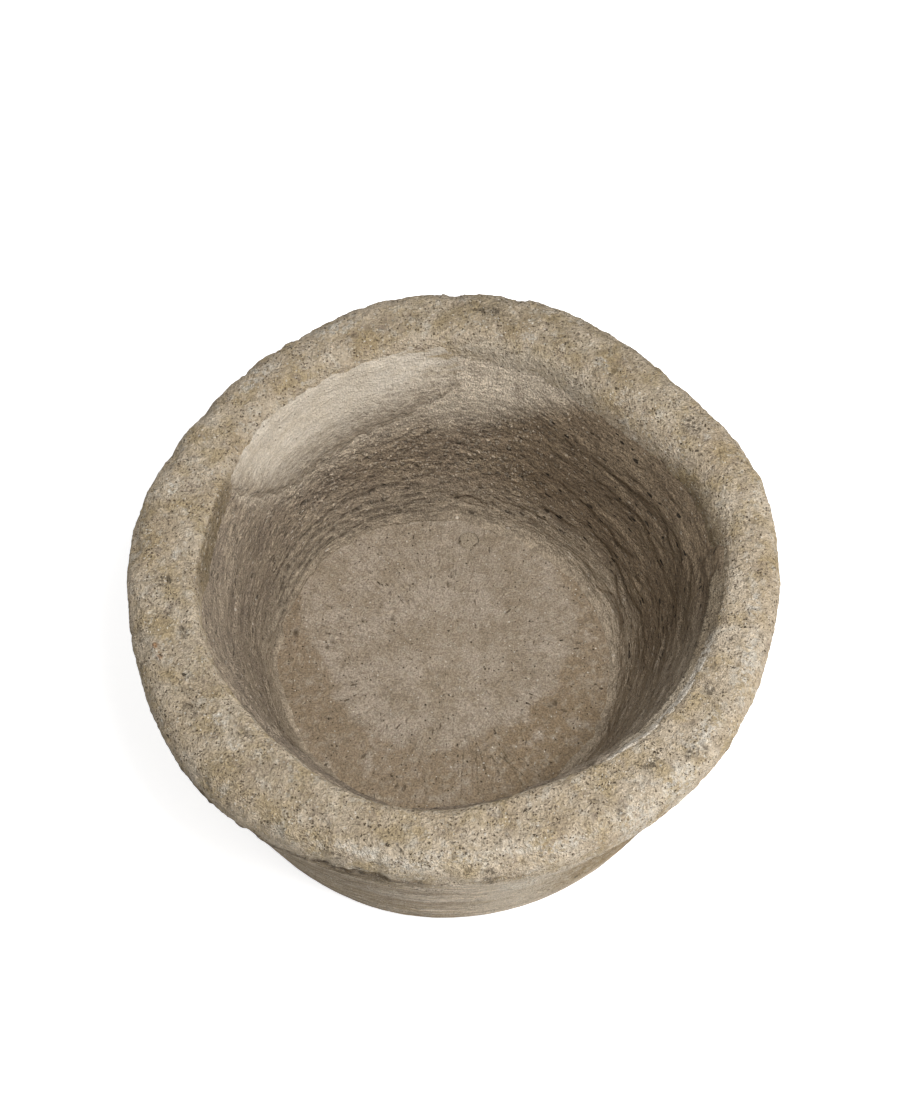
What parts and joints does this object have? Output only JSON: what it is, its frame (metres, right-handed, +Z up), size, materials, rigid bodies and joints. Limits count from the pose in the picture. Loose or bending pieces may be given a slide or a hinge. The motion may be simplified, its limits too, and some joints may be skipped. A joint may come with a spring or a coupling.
{
  "type": "stone trough planter",
  "caption": "Round hand-cut stone trough used as a planter: heavy tapered body, proud rough rim, mortar-lined hollow with a trowelled floor and a stopped drain hole.",
  "frame": {"origin": "middle of the flat underside, on the ground", "axes": "+Z up out of the mouth, +X to the right and +Y away from someone standing at the front, which is the side nearest the camera in the picture"},
  "size_m": [0.6471, 0.6494, 0.3],
  "materials": {
    "weathered_stone": "rough, pitted and weathered, with lime and lichen on the rim",
    "render_mortar": "coarse grey-brown mortar, trowelled round the wall",
    "screed_mortar": "grey-brown mortar, trowelled outwards from the middle, paler and worn there",
    "skim_mortar": "pale fine mortar, smoothed with a float",
    "pointing_mortar": "pale mortar, struck off along the arris and cracked across"
  },
  "bodies": {
    "root": {"stone_trough": "weathered_stone", "wall_render": "render_mortar", "floor_screed": "screed_mortar", "skim_patch": "skim_mortar", "drain_plug": "pointing_mortar", "lip_pointing_1": "pointing_mortar", "lip_pointing_2": "pointing_mortar", "lip_pointing_3": "pointing_mortar"}
  },
  "joints": []
}
